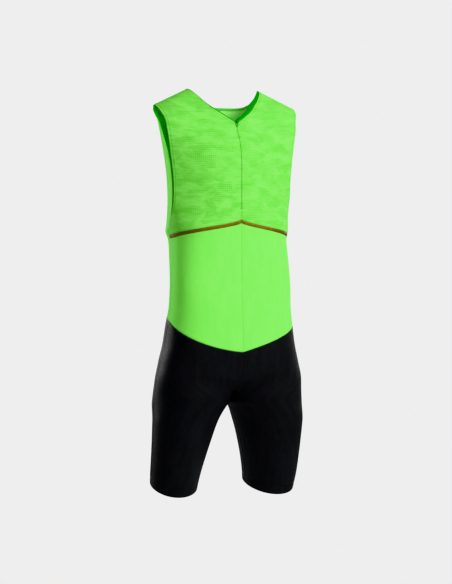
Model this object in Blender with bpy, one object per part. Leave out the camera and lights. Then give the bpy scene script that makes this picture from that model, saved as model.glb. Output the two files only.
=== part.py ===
"""Athletics bodysuit: a sleeveless one-piece with short legs, filled out as on a plain figure.

Metres, +Z up. The front faces -Y and the wearer's left is +X. The origin lies between the
two shoulder seams, at the height of the neck points, where the wearer holds the garment up.
Every panel is a cloth wall: its outer face lies on the form below, and its inner face is that
one moved in by the wall. Neighbouring panels stay a seam gap apart.
"""

import math

import bpy
from mathutils import Vector

# Cloth and seams
WALL = 0.0012  # two plies of stretch knit at the overlocked seams
SEAM = 0.0003  # gap between two panels
TRIM_WALL = 0.0010  # neck tape and zip tape

# Shoulders and neck
NECK_HALF = 0.091  # centre to the neck point
SHOULDER_HALF = 0.1790  # centre to the shoulder tip
SHOULDER_DROP = 0.0415  # neck point to shoulder tip
SHOULDER_ROUND = 0.070  # height over which the form turns over at the shoulder tip
SHOULDER_FORWARD = 0.010  # how much further forward the shoulder tip is than the neck point
NECK_ROUND = 0.145  # and next to the neck
ROUND_FROM, ROUND_TO = 0.060, 0.150  # between these distances from the centre it changes
FRONT_NECK_DROP = 0.0877  # neck point to the bottom of the V
BACK_NECK_DROP = 0.0428
NECK_TAPE = 0.006
NECK_TAPE_END = 0.93  # share of the way from the centre back to the neck point

# Style lines
UNDERARM_Z = -0.342
ARMHOLE_FADE = 0.080  # height above the underarm over which the chest flattens out to the side
CHEST_BOW = 2.2  # how fast the flattened chest falls back towards the armhole
CHEST_SEAM_PEAK_Z = -0.319  # centre of the chest tape at the centre front
CHEST_SEAM_FALL = 0.0355  # how much lower it meets the side seam
CHEST_SEAM_CURVE = 0.58  # below 1, the tape falls fastest next to its apex
CHEST_TAPE = 0.008
WAIST_FRONT_Z = -0.6255
WAIST_SIDE_RISE = 0.074
WAIST_CURVE = {"left": 0.8, "right": 1.2}  # the seam hangs unevenly in the photograph
WAIST_BACK_RISE = 0.045

# Zip
ZIP_TAPE = 0.010
ZIP_TAPE_GAP = 0.0005  # tape to the inside of the yoke
ZIP_TAPE_TOP_GAP = 0.00125  # and round the zip's mouth, where the yoke turns
ZIP_FIRST_ROW = 1  # the yoke's row that the zip tapes start from
ZIP_MOUTH = 0.0036  # half the gap between the two fronts at the bottom of the V
ZIP_MOUTH_DEPTH = 0.009
ZIP_GAP = 0.0004  # slider to cloth
PULL_AXIS_DEPTH = 0.0060  # the pull tab's turning axis, behind the cloth's outer face
PULL_AXIS_DROP = 0.0036  # and below the bottom of the V

# Legs
CROTCH_Z = -0.743
HEM_Z = -0.946
HEM_TILT = 0.40  # the leg leans back, and its hem is a little lower in front than square
HEM_SIDE_RISE = 0.003  # how much higher the hem is on the outside than on the inside
THIGH_TOE_OUT = 0.12  # how far the front of a leg's oval leans outward, to its depth
SPREAD_FROM = 0.55  # share of the hip height where the two legs start to part

# Panel grids
ACROSS = 12  # cells from the centre line to the side seam
YOKE_ROWS = 16
NECK_ROW = 10  # the yoke's row at the bottom of the V
LOWER_ROWS = 13
BACK_ROWS = 26
HIP_ROWS = 11
LEG_ROWS = 10


def table(columns, *rows):
    """A dictionary of columns, read top to bottom."""
    return dict(zip(columns.split(), zip(*rows)))


# Sections of the form, from above the neck point down to the crotch. front_half and
# back_half are half widths, front and back the depths on the centre lines, and front_side
# and back_side the depths of the panels' outer edges, which part round the armhole.
FORM = table(
    "z front_half back_half front back front_side back_side front_power back_power",
    (0.020, 0.2250, 0.2250, -0.0500, 0.0050, -0.0480, 0.0000, 2.5, 2.6),
    (0.000, 0.2060, 0.2060, -0.0640, 0.0055, -0.0500, 0.0000, 2.5, 2.6),
    (-0.0415, 0.1790, 0.1790, -0.0747, 0.0075, -0.0560, 0.0010, 2.5, 2.6),
    (-0.056, 0.1745, 0.1800, -0.0868, 0.0100, -0.0610, -0.0140, 2.5, 2.7),
    (-0.078, 0.1670, 0.1750, -0.0926, 0.0155, -0.0630, -0.0350, 2.5, 2.8),
    (-0.100, 0.1645, 0.1690, -0.0957, 0.0240, -0.0650, -0.0375, 2.5, 3.0),
    (-0.130, 0.1598, 0.1605, -0.1130, 0.0360, -0.0660, -0.0400, 2.5, 3.2),
    (-0.160, 0.1559, 0.1535, -0.1220, 0.0450, -0.0660, -0.0425, 2.5, 3.3),
    (-0.190, 0.1523, 0.1470, -0.1240, 0.0520, -0.0675, -0.0400, 2.5, 3.3),
    (-0.222, 0.1494, 0.1425, -0.1240, 0.0560, -0.0673, -0.0370, 2.5, 3.3),
    (-0.263, 0.1484, 0.1405, -0.1240, 0.0580, -0.0651, -0.0345, 2.5, 3.2),
    (-0.300, 0.1480, 0.1420, -0.1240, 0.0580, -0.0516, -0.0305, 2.5, 3.0),
    (-0.325, 0.1488, 0.1455, -0.1240, 0.0570, -0.0372, -0.0275, 2.5, 2.7),
    (-0.342, 0.1485, 0.1485, -0.1240, 0.0550, -0.0265, -0.0265, 2.6, 2.5),
    (-0.360, 0.1440, 0.1440, -0.1240, 0.0520, -0.0300, -0.0300, 2.6, 2.4),
    (-0.400, 0.1445, 0.1445, -0.1240, 0.0430, -0.0360, -0.0360, 2.9, 2.3),
    (-0.445, 0.1465, 0.1465, -0.1250, 0.0300, -0.0440, -0.0440, 3.0, 2.3),
    (-0.480, 0.1476, 0.1476, -0.1265, 0.0270, -0.0460, -0.0460, 3.0, 2.3),
    (-0.525, 0.1490, 0.1490, -0.1300, 0.0330, -0.0440, -0.0440, 2.9, 2.4),
    (-0.560, 0.1550, 0.1550, -0.1330, 0.0420, -0.0430, -0.0430, 2.6, 2.4),
    (-0.610, 0.1621, 0.1621, -0.1355, 0.0530, -0.0415, -0.0415, 2.6, 2.4),
    (-0.650, 0.1724, 0.1724, -0.1345, 0.0580, -0.0405, -0.0405, 2.5, 2.3),
    (-0.690, 0.1802, 0.1802, -0.1310, 0.0570, -0.0395, -0.0395, 2.7, 2.2),
    (-0.730, 0.1853, 0.1853, -0.1255, 0.0560, -0.0370, -0.0370, 2.5, 2.2),
    (-0.752, 0.1868, 0.1868, -0.1215, 0.0550, -0.0350, -0.0350, 2.2, 2.2),
    (-0.800, 0.1870, 0.1870, -0.1120, 0.0500, -0.0330, -0.0330, 2.2, 2.2),
)

# Each leg as an oval between its inner, outer, front and back lines.
LEG = table(
    "z inner outer front back",
    (-0.700, 0.0000, 0.1815, -0.1300, 0.0570),
    (-0.743, 0.0000, 0.1861, -0.1230, 0.0552),
    (-0.756, 0.0085, 0.1865, -0.1205, 0.0545),
    (-0.774, 0.0180, 0.1866, -0.1160, 0.0535),
    (-0.800, 0.0285, 0.1865, -0.1080, 0.0525),
    (-0.840, 0.0405, 0.1855, -0.0960, 0.0535),
    (-0.880, 0.0510, 0.1845, -0.0830, 0.0570),
    (-0.920, 0.0595, 0.1830, -0.0690, 0.0630),
    (-0.960, 0.0650, 0.1785, -0.0540, 0.0710),
    (-1.000, 0.0690, 0.1745, -0.0380, 0.0800),
)

COLOURS = {  # base colour, roughness, metallic
    "mesh_green": ((0.18, 0.75, 0.09), 0.75, 0.0),
    "plain_green": ((0.27, 0.88, 0.14), 0.60, 0.0),
    "bronze": ((0.36, 0.22, 0.02), 0.35, 0.8),
    "black": ((0.006, 0.006, 0.008), 0.50, 0.0),
    "trim_green": ((0.10, 0.60, 0.06), 0.70, 0.0),
    "zip_green": ((0.08, 0.45, 0.05), 0.60, 0.0),
    "zip_metal": ((0.10, 0.42, 0.06), 0.35, 0.6),
}


def clamp(value, low=0.0, high=1.0):
    return max(low, min(high, value))


def mix(start, end, share):
    return start + (end - start) * share


def smooth(share):
    share = clamp(share)
    return share * share * (3.0 - 2.0 * share)


def read(sections, name, z):
    """The column at height z, by a smooth curve through its rows."""
    heights, values = sections["z"], sections[name]
    last = len(heights) - 1
    z = clamp(z, heights[last], heights[0])
    low = next(i for i in range(last) if z >= heights[i + 1])

    def slope(i):
        before, after = max(i - 1, 0), min(i + 1, last)
        return (values[after] - values[before]) / (heights[after] - heights[before])

    span = heights[low + 1] - heights[low]
    t = (z - heights[low]) / span
    ease = t * t * (3.0 - 2.0 * t)
    leave = slope(low) * span * t * (1.0 - t) ** 2
    arrive = slope(low + 1) * span * t * t * (t - 1.0)
    return mix(values[low], values[low + 1], ease) + leave + arrive


def ridge_z(x):
    """Height of the shoulder seam, carried on past its two ends."""
    return -SHOULDER_DROP * (x - NECK_HALF) / (SHOULDER_HALF - NECK_HALF)


def ridge_y(x):
    return -SHOULDER_FORWARD * clamp((x - NECK_HALF) / (SHOULDER_HALF - NECK_HALF))


def shoulder_share(x, z):
    """0 on the shoulder seam, and 1 where the shoulder has turned into the body."""
    over = clamp((x - ROUND_FROM) / (ROUND_TO - ROUND_FROM))
    down = clamp((ridge_z(x) - z) / mix(NECK_ROUND, SHOULDER_ROUND, over))
    return math.sqrt(1.0 - (1.0 - down) ** 2)


def edge(face, column, z):
    """A panel's own column round the armhole, and the two panels' mean below it."""
    if z > UNDERARM_Z:
        return read(FORM, f"{face}_{column}", z)
    return (read(FORM, f"front_{column}", z) + read(FORM, f"back_{column}", z)) / 2.0


def apart(face):
    """Half the gap between the front and the back pieces."""
    return -SEAM / 2.0 if face == "front" else SEAM / 2.0


def on_form(face, turn, z):
    """A point of the form's left half. turn is 0 on the side edge and 1 on the centre line."""
    power = 2.0 / read(FORM, face + "_power", z)
    side, centre = edge(face, "side", z), read(FORM, face, z)
    angle = turn * math.pi / 2.0
    x = edge(face, "half", z) * max(math.cos(angle), 0.0) ** power
    bulge = max(math.sin(angle), 0.0) ** power
    if face == "front":
        flat = 1.0 - (x / edge(face, "half", z)) ** CHEST_BOW
        bulge = mix(bulge, flat, smooth((z - UNDERARM_Z) / ARMHOLE_FADE))
    y = mix(side, centre, bulge)
    y = mix(ridge_y(x), y, shoulder_share(x, z))
    return Vector((x, y + apart(face), z))


def turn_at(face, x, z):
    """The turn at which the form is x from the centre line."""
    share = clamp(x / edge(face, "half", z))
    power = read(FORM, face + "_power", z) / 2.0
    return math.acos(clamp(share**power)) * 2.0 / math.pi


def chest_seam_z(turn):
    return CHEST_SEAM_PEAK_Z - CHEST_SEAM_FALL * (1.0 - turn) ** CHEST_SEAM_CURVE


def waist_seam_z(face, turn, side="left"):
    if face == "front":
        return WAIST_FRONT_Z + WAIST_SIDE_RISE * (1.0 - turn) ** WAIST_CURVE[side]
    return WAIST_FRONT_Z + WAIST_SIDE_RISE + WAIST_BACK_RISE * math.sin(turn * math.pi / 2.0)


def spaced(curve, count, fine=200):
    """count + 1 parameters of a curve of points, an equal length apart."""
    points = [curve(i / fine) for i in range(fine + 1)]
    reach = [0.0]
    for before, after in zip(points, points[1:]):
        reach.append(reach[-1] + (after - before).length)
    found, at = [0.0], 0
    for step in range(1, count):
        goal = reach[-1] * step / count
        while reach[at + 1] < goal:
            at += 1
        found.append((at + (goal - reach[at]) / (reach[at + 1] - reach[at])) / fine)
    return found + [1.0]


def patch(face, bottom, top, inner, outer):
    """Rows of points on the form between four borders, each a list of (turn, z)."""
    rows = []
    for j, (left, right) in enumerate(zip(inner, outer)):
        v = j / (len(inner) - 1)
        row = []
        for i, (low, high) in enumerate(zip(bottom, top)):
            u = i / (len(bottom) - 1)
            turn, z = (
                mix(low[k], high[k], v)
                + mix(left[k], right[k], u)
                - mix(mix(bottom[0][k], bottom[-1][k], u), mix(top[0][k], top[-1][k], u), v)
                for k in (0, 1)
            )
            row.append(on_form(face, turn, z))
        rows.append(row)
    return rows


def mirrored(rows):
    return [[Vector((-p.x, p.y, p.z)) for p in row] for row in rows]


def grid_normals(rows, outward):
    """A unit normal at each point, on the side that the outward function points to."""
    normals = []
    for j, row in enumerate(rows):
        line = []
        for i, point in enumerate(row):
            along = row[min(i + 1, len(row) - 1)] - row[max(i - 1, 0)]
            up = rows[min(j + 1, len(rows) - 1)][i] - rows[max(j - 1, 0)][i]
            normal = along.cross(up).normalized()
            line.append(normal if normal.dot(outward(point)) > 0.0 else -normal)
        normals.append(line)
    return normals


def flattened(normal, axes):
    """The normal without its share along each seam's own axis, so that seams stay parted."""
    for axis in axes:
        normal = normal - axis * normal.dot(axis)
    return normal.normalized()


def add_object(name, points, faces, colour):
    mesh = bpy.data.meshes.new(name)
    mesh.from_pydata([tuple(p) for p in points], [], faces)
    mesh.validate()
    mesh.shade_smooth()
    mesh.set_sharp_from_angle(angle=math.radians(50.0))
    item = bpy.data.objects.new(name, mesh)
    item.data.materials.append(material(name, colour))
    PARTS.objects.link(item)
    return item


def material(name, colour):
    base, roughness, metallic = COLOURS[colour]
    made = bpy.data.materials.new(name)
    made.use_nodes = True
    shader = made.node_tree.nodes["Principled BSDF"]
    shader.inputs["Base Color"].default_value = (*base, 1.0)
    shader.inputs["Roughness"].default_value = roughness
    shader.inputs["Metallic"].default_value = metallic
    made.diffuse_color = (*base, 1.0)
    return made


def cloth(name, rows, normals, colour, wall=WALL, flat=lambda j, i: ()):
    """A closed wall: its outer face through the rows, its inner face one wall further in.

    flat(j, i) gives the axes that a border point's inner partner doesn't move along.
    """
    tall, wide = len(rows), len(rows[0])
    outer = [point for row in rows for point in row]
    inner = [
        rows[j][i] - flattened(normals[j][i], flat(j, i)) * wall
        for j in range(tall)
        for i in range(wide)
    ]
    count = tall * wide
    # The winding follows the normal of the first cell.
    first = (rows[0][1] - rows[0][0]).cross(rows[1][0] - rows[0][0])
    facing = first.dot(normals[0][0]) > 0.0

    def turned(face):
        return face if facing else face[::-1]

    faces = []
    for j in range(tall - 1):
        for i in range(wide - 1):
            a, b = j * wide + i, j * wide + i + 1
            c, d = b + wide, a + wide
            for triangle in ((a, b, c), (a, c, d)):
                faces.append(turned(triangle))
                faces.append(turned(tuple(count + k for k in triangle[::-1])))
    rim = [i for i in range(wide)]
    rim += [j * wide + wide - 1 for j in range(1, tall)]
    rim += [(tall - 1) * wide + i for i in range(wide - 2, -1, -1)]
    rim += [j * wide for j in range(tall - 2, 0, -1)]
    for a, b in zip(rim, rim[1:] + rim[:1]):
        faces.append(turned((b, a, count + a)))
        faces.append(turned((b, count + a, count + b)))
    return add_object(name, outer + inner, faces, colour)


def from_axis(point):
    """Away from the upright line through the middle of the torso."""
    return Vector((point.x, point.y + 0.035, 0.0))


X_AXIS, Y_AXIS, Z_AXIS = Vector((1, 0, 0)), Vector((0, 1, 0)), Vector((0, 0, 1))


def neck_edge_front(t):
    """(turn, z) of the V neck, from its bottom at t = 0 to the neck point at t = 1."""
    x = NECK_HALF * t
    z = -FRONT_NECK_DROP * (1.0 - 0.68 * t - 0.32 * t**3.5)
    return turn_at("front", max(x, SEAM / 2.0), z), z


def neck_edge_back(t):
    """(turn, z) of the back neck, from the centre back to the neck point."""
    x = NECK_HALF * t
    z = -BACK_NECK_DROP * (1.0 - 0.83 * t**5 - 0.17 * t**20)
    return turn_at("back", x, z), z


def shoulder_seam(face, t):
    x = mix(NECK_HALF, SHOULDER_HALF, t)
    return turn_at(face, x, ridge_z(x)), ridge_z(x)


def side_edge(face, low, t):
    return 0.0, mix(low, -SHOULDER_DROP, t)


def even(face, curve, count):
    """count + 1 border points, spaced evenly on the form."""
    return [curve(t) for t in spaced(lambda t: on_form(face, *curve(t)), count)]


def zip_edge_x(z):
    """Half the gap between the two fronts: the seam, and the zip's mouth at the V."""
    up = clamp((z + FRONT_NECK_DROP + ZIP_MOUTH_DEPTH) / ZIP_MOUTH_DEPTH)
    return SEAM / 2.0 + ZIP_MOUTH * up


def spread_mouth(rows, reach=3):
    """Moves the columns next to the centre front out, to open the zip's mouth."""
    for row in rows:
        first = max(row[0].x, zip_edge_x(row[0].z)) - row[0].x
        for i in range(reach):
            row[i].x += first * (1.0 - i / reach)
    return rows


def yoke_rows():
    low = [chest_seam_z(1.0 - i / ACROSS) + CHEST_TAPE / 2.0 + SEAM for i in range(ACROSS + 1)]
    bottom = [(1.0 - i / ACROSS, low[i]) for i in range(ACROSS + 1)]
    top = even("front", lambda t: shoulder_seam("front", t), ACROSS)
    mouth = -FRONT_NECK_DROP - ZIP_MOUTH_DEPTH
    inner = [(1.0, mix(low[0], mouth, j / (NECK_ROW - 1))) for j in range(NECK_ROW)]
    inner += even("front", neck_edge_front, YOKE_ROWS - NECK_ROW)
    outer = even("front", lambda t: side_edge("front", low[-1], t), YOKE_ROWS)
    return spread_mouth(patch("front", bottom, top, inner, outer))


def yoke_flat(j, i):
    axes = []
    if j == 0:
        axes.append(Z_AXIS)
    if j == YOKE_ROWS:
        axes.append(Y_AXIS)
    if i == 0 and j <= NECK_ROW:
        axes.append(X_AXIS)
    if i == ACROSS and j <= 1:
        axes.append(Y_AXIS)
    return axes


def band_rows(face, turns, high, low, count):
    """Rows of the form from the seam low to the seam high, both functions of the turn."""
    return [
        [on_form(face, turn, mix(low(turn), high(turn), j / count)) for turn in turns]
        for j in range(count + 1)
    ]


def half_turns():
    return [1.0 - i / ACROSS for i in range(ACROSS + 1)]


def parted(rows):
    """Keeps the centre column half a seam from the middle."""
    for row in rows:
        for point in row:
            point.x = max(point.x, SEAM / 2.0)
    return rows


def all_edges(tall, wide):
    """Seams on all four sides of a grid of tall by wide cells."""

    def flat(j, i):
        axes = [Z_AXIS] if j in (0, tall) else []
        if i == 0:
            axes.append(X_AXIS)
        if i == wide:
            axes.append(Y_AXIS)
        return axes

    return flat


def sides(rows_of):
    """The left rows and the mirrored right rows, each with its side's name."""
    return (("left", rows_of("left")), ("right", mirrored(rows_of("right"))))


def square_shoulder(rows, normals, first):
    """Sets the top row's normals, from cell first on each side, square to the shoulder seam."""
    for i, point in enumerate(rows[-1]):
        if abs(point.x) >= abs(rows[-1][first].x) - 1e-6:
            across = math.copysign(SHOULDER_DROP, point.x)
            normals[-1][i] = Vector((across, 0.0, SHOULDER_HALF - NECK_HALF)).normalized()


def fronts(name, rows_of, colour, flat, shoulder=False):
    for side, points in sides(rows_of):
        normals = grid_normals(points, from_axis)
        if shoulder:
            square_shoulder(points, normals, 0)
        cloth(f"{name}_{side}", points, normals, colour, flat=flat)


def build_fronts():
    yoke = yoke_rows()
    fronts("front_yoke", lambda side: yoke, "mesh_green", yoke_flat, shoulder=True)
    build_zip_tapes(yoke)
    turns = half_turns()
    half = CHEST_TAPE / 2.0

    def tape(side):
        rows = band_rows(
            "front", turns, lambda t: chest_seam_z(t) + half, lambda t: chest_seam_z(t) - half, 1
        )
        return parted(rows)

    def lower(side):
        rows = band_rows(
            "front",
            turns,
            lambda t: chest_seam_z(t) - half - SEAM,
            lambda t: waist_seam_z("front", t, side) + SEAM / 2.0,
            LOWER_ROWS,
        )
        return parted(rows)

    fronts("chest_tape", tape, "bronze", all_edges(1, ACROSS))
    fronts("lower_front", lower, "plain_green", all_edges(LOWER_ROWS, ACROSS))


def build_zip_tapes(yoke):
    """Two strips behind the centre front edges, made from the yoke's own points moved in."""
    normals = grid_normals(yoke, from_axis)
    rows, lines = [], []
    for j in range(ZIP_FIRST_ROW, NECK_ROW + 1):
        pair = (flattened(normals[j][0], [X_AXIS]), normals[j][1])
        inner = [point - normal * WALL for point, normal in zip(yoke[j], pair)]
        share = min(ZIP_TAPE / (inner[1] - inner[0]).length, 1.0)
        line = [pair[0], flattened(pair[0].lerp(pair[1], share), [X_AXIS])]
        ends = (inner[0], inner[0].lerp(inner[1], share))
        gap = ZIP_TAPE_GAP if j < NECK_ROW - 1 else ZIP_TAPE_TOP_GAP
        rows.append([point - normal * gap for point, normal in zip(ends, line)])
        lines.append(line)
    for side, points in sides(lambda side: rows):
        cloth(f"zip_tape_{side}", points, lines, "zip_green", TRIM_WALL)


def blocks(name, xs, ys, zs, filled, place, colour):
    """One closed solid of grid cells. filled holds (x, y, z) cell numbers; place sets a corner."""
    corners, faces = {}, []

    def corner(key):
        return corners.setdefault(key, len(corners))

    for cell in sorted(filled):
        for axis in range(3):
            for step in (0, 1):
                beyond = list(cell)
                beyond[axis] += 2 * step - 1
                if tuple(beyond) in filled:
                    continue
                loop = []
                for a, b in ((0, 0), (1, 0), (1, 1), (0, 1)):
                    key = list(cell)
                    key[axis] += step
                    key[(axis + 1) % 3] += a
                    key[(axis + 2) % 3] += b
                    loop.append(corner(tuple(key)))
                faces.append(tuple(loop if step else loop[::-1]))
    points = [place(xs[i], ys[j], zs[k]) for i, j, k in corners]
    return add_object(name, points, faces, colour)


def pull_axis():
    z = -FRONT_NECK_DROP - PULL_AXIS_DROP
    return Vector((0.0, on_form("front", 1.0, z).y + PULL_AXIS_DEPTH, z))


def build_slider():
    """A block that narrows down the zip's mouth, with a loop at its back for the pull tab."""
    axis = pull_axis()
    face = -PULL_AXIS_DEPTH + ZIP_GAP
    xs = (-0.0032, -0.0006, 0.0006, 0.0032)
    ys = (face, -0.0010, 0.0010, 0.0018)
    zs = (-0.0027, -0.0017, -0.0009, 0.0020, 0.0028, 0.0033)
    body = {(i, 0, k) for i in range(3) for k in range(5)}
    arms = {(1, 1, 1), (1, 1, 3)}
    bridge = {(1, 2, k) for k in (1, 2, 3)}

    def place(x, y, z):
        high = axis.z + z
        if abs(x) == xs[-1]:
            x = math.copysign(zip_edge_x(high) - ZIP_GAP, x)
        if y == face:
            return Vector((x, on_form("front", 1.0, high).y + ZIP_GAP, high))
        return Vector((x, axis.y + y, high))

    blocks("zip_slider", xs, ys, zs, body | arms | bridge, place, "zip_metal")


def build_pull():
    """A flat tab whose top bar lies in the slider's loop, and whose eye clears the loop."""
    axis = pull_axis()
    xs = (-0.0022, -0.0012, 0.0012, 0.0022)
    ys = (-0.0005, 0.0005)
    zs = (-0.0140, -0.0046, -0.0005, 0.0005)
    plate = {(i, 0, k) for i in range(3) for k in range(3)} - {(1, 0, 1)}
    blocks("zip_pull", xs, ys, zs, plate, lambda x, y, z: axis + Vector((x, y, z)), "zip_metal")


def back_half_rows():
    turns = half_turns()
    bottom = [(turn, waist_seam_z("back", turn) + SEAM / 2.0) for turn in turns]
    neck_cells = ACROSS // 2
    top = even("back", neck_edge_back, neck_cells)
    top += even("back", lambda t: shoulder_seam("back", t), ACROSS - neck_cells)[1:]
    inner = [(1.0, mix(bottom[0][1], -BACK_NECK_DROP, j / BACK_ROWS)) for j in range(BACK_ROWS + 1)]
    outer = even("back", lambda t: side_edge("back", bottom[-1][1], t), BACK_ROWS)
    return patch("back", bottom, top, inner, outer)


def back_flat(rows):
    def flat(j, i):
        axes = [Z_AXIS] if j == 0 else []
        if j == BACK_ROWS and abs(i - ACROSS) >= ACROSS // 2:
            axes.append(Y_AXIS)
        if i in (0, 2 * ACROSS) and rows[j][i].z < UNDERARM_Z + 0.02:
            axes.append(Y_AXIS)
        return axes

    return flat


def whole(half):
    """The right half, then the left half, as one row each."""
    return [right[::-1] + left[1:] for right, left in zip(mirrored(half), half)]


def build_back():
    half = back_half_rows()
    rows = whole(half)
    normals = grid_normals(rows, from_axis)
    square_shoulder(rows, normals, ACROSS - ACROSS // 2)
    cloth("back", rows, normals, "plain_green", flat=back_flat(rows))
    deep = NECK_TAPE
    cells = 2 * (ACROSS // 2)
    ends = [NECK_TAPE_END * abs(1.0 - 2.0 * i / cells) for i in range(cells + 1)]
    edge = [neck_edge_back(t) for t in ends]
    tape = []
    for drop in (deep, 0.0002):
        row = []
        for i, (turn, z) in enumerate(edge):
            point = on_form("back", turn, z - drop)
            row.append(point if 2 * i > cells else Vector((-point.x, point.y, point.z)))
        tape.append(row)
    normals = grid_normals(tape, from_axis)
    inset = WALL + SEAM
    moved = [[p - n * inset for p, n in zip(*pair)] for pair in zip(tape, normals)]
    cloth("neck_tape", moved, normals, "trim_green", TRIM_WALL)


def hip_turn(s, share):
    """The turn of a shorts column: as the torso's at the waist, as the leg's at the crotch."""
    plain = abs(1.0 - 2.0 * s)
    sine = math.sin(math.pi * s) ** 2.2
    leg_like = 1.0 - math.asin(clamp(sine)) * 2.0 / math.pi
    return mix(plain, leg_like, share)


def leg_middle(z):
    return (read(LEG, "front", z) + read(LEG, "back", z)) / 2.0


def leg_point(face, s, z):
    """A point of the leg's oval, from the inner line at s = 0 round the front and the side."""
    inner, outer = read(LEG, "inner", z), read(LEG, "outer", z)
    angle = 2.0 * math.pi * s
    depth = (read(LEG, "back", z) - read(LEG, "front", z)) / 2.0 * math.sin(angle)
    lean = THIGH_TOE_OUT * smooth((CROTCH_Z - z) / 0.05)
    x = mix(inner, outer, (1.0 - math.cos(angle)) / 2.0) + lean * depth
    return Vector((x, leg_middle(z) - depth + apart(face), z))


def hip_point(face, side, s, share):
    """A point between the waist seam (share 0) and the crotch (share 1)."""
    start = waist_seam_z(face, abs(1.0 - 2.0 * s), side) - SEAM / 2.0
    z = mix(start, CROTCH_Z, share)
    body = on_form(face, hip_turn(s, share), z)
    leg = leg_point(face, s, z)
    part = smooth((share - SPREAD_FROM) / (1.0 - SPREAD_FROM))
    return body.lerp(leg, part)


def hem_z(face, s):
    side = HEM_SIDE_RISE * (1.0 - math.cos(2.0 * math.pi * s)) / 2.0
    return HEM_Z + HEM_TILT * (leg_point(face, s, HEM_Z).y - leg_middle(HEM_Z)) + side


def leg_rows(face, side):
    """Rows from the hem up to the waist seam, from the inner line round to the side."""
    columns = [i / (2.0 * ACROSS) for i in range(ACROSS + 1)]
    if face == "back":
        columns = [1.0 - s for s in columns]
    rows = []
    for j in range(LEG_ROWS):
        down = (1.0 - j / LEG_ROWS) ** 1.25
        rows.append([leg_point(face, s, mix(CROTCH_Z, hem_z(face, s), down)) for s in columns])
    for j in range(HIP_ROWS + 1):
        share = 1.0 - (j / HIP_ROWS) ** 1.4
        rows.append([hip_point(face, side, s, share) for s in columns])
    return parted(rows)


def leg_flat(j, i):
    axes = [Z_AXIS] if j == LEG_ROWS + HIP_ROWS else []
    if i == ACROSS or (i == 0 and j <= LEG_ROWS):
        axes.append(Y_AXIS)
    if i == 0 and j >= LEG_ROWS:
        axes.append(X_AXIS)
    return axes


def from_leg(sign):
    """Away from a leg's own middle below the crotch, and from the torso's above it."""

    def outward(point):
        share = smooth((CROTCH_Z + 0.10 - point.z) / 0.10)
        middle_x = sign * share * (read(LEG, "inner", point.z) + read(LEG, "outer", point.z)) / 2.0
        middle_y = mix(-0.035, leg_middle(point.z), share)
        return Vector((point.x - middle_x, point.y - middle_y, -0.02 * share))

    return outward


def build_shorts():
    for face in ("front", "back"):
        for side, points in sides(lambda side: leg_rows(face, side)):
            normals = grid_normals(points, from_leg(1 if side == "left" else -1))
            cloth(f"{face}_leg_{side}", points, normals, "black", flat=leg_flat)


def main():
    build_fronts()
    build_slider()
    build_pull()
    build_back()
    build_shorts()


for item in list(bpy.data.objects):
    bpy.data.objects.remove(item, do_unlink=True)
PARTS = bpy.data.collections.new("athletics_bodysuit")
bpy.context.scene.collection.children.link(PARTS)
main()
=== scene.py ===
"""Athletics bodysuit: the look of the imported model, in its frame.

Each panel is rebuilt as a fine cloth shell on its solid's own form, with seam grooves, folded
edges, stitches and a few soft creases.
"""

import math

import bpy
import numpy as np
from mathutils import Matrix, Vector


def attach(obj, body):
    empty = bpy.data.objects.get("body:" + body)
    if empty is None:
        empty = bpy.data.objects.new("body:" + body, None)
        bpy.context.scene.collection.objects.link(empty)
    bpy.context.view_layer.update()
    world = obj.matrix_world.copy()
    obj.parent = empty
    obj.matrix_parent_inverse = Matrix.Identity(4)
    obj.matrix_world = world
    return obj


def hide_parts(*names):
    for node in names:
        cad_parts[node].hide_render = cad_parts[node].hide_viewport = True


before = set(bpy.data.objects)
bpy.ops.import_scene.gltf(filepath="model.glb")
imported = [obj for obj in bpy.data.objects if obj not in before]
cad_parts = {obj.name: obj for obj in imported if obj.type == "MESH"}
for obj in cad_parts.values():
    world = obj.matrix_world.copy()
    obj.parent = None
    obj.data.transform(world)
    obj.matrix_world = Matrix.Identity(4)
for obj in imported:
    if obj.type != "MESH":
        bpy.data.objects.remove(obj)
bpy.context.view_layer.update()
BODY = "garment"

SEAM = 0.00006  # all but closed, where the solids are 0.3 mm apart

# The sizes of part.py, in metres
NECK_HALF, SHOULDER_HALF, SHOULDER_FORWARD = 0.091, 0.1790, 0.010
SHOULDER_DROP, SHOULDER_ROUND, NECK_ROUND = 0.0415, 0.070, 0.145
ROUND_FROM, ROUND_TO = 0.060, 0.150
FRONT_NECK_DROP, BACK_NECK_DROP = 0.0877, 0.0428
UNDERARM_Z, ARMHOLE_FADE, CHEST_BOW = -0.342, 0.080, 2.2
CHEST_SEAM_PEAK_Z, CHEST_SEAM_FALL, CHEST_SEAM_CURVE = -0.319, 0.0355, 0.58
CHEST_TAPE = 0.008
WAIST_FRONT_Z, WAIST_SIDE_RISE, WAIST_BACK_RISE = -0.6255, 0.074, 0.045
WAIST_CURVE = {"left": 0.8, "right": 1.2}
ZIP_MOUTH, ZIP_MOUTH_DEPTH = 0.0036, 0.009
CROTCH_Z, HEM_Z, HEM_TILT, HEM_SIDE_RISE = -0.743, -0.946, 0.40, 0.003
THIGH_TOE_OUT, SPREAD_FROM = 0.12, 0.55
THIGH_X, THIGH_Z = 0.11, -0.84  # a point inside the thigh

# Rows and columns of the panels' grids
LEG_ROWS = 96  # of a shorts panel, from the hem to the crotch
LEG_CLEAR_ROWS = 90  # of those, the ones below the fold at the crotch
HEM_ROWS = 40  # and the ones that hold the hem's stitches
UNDERARM_ROW = 4  # of a yoke, where its armhole starts
ARM_COLUMNS = 40  # of the back, that hold an armhole's stitches

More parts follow.
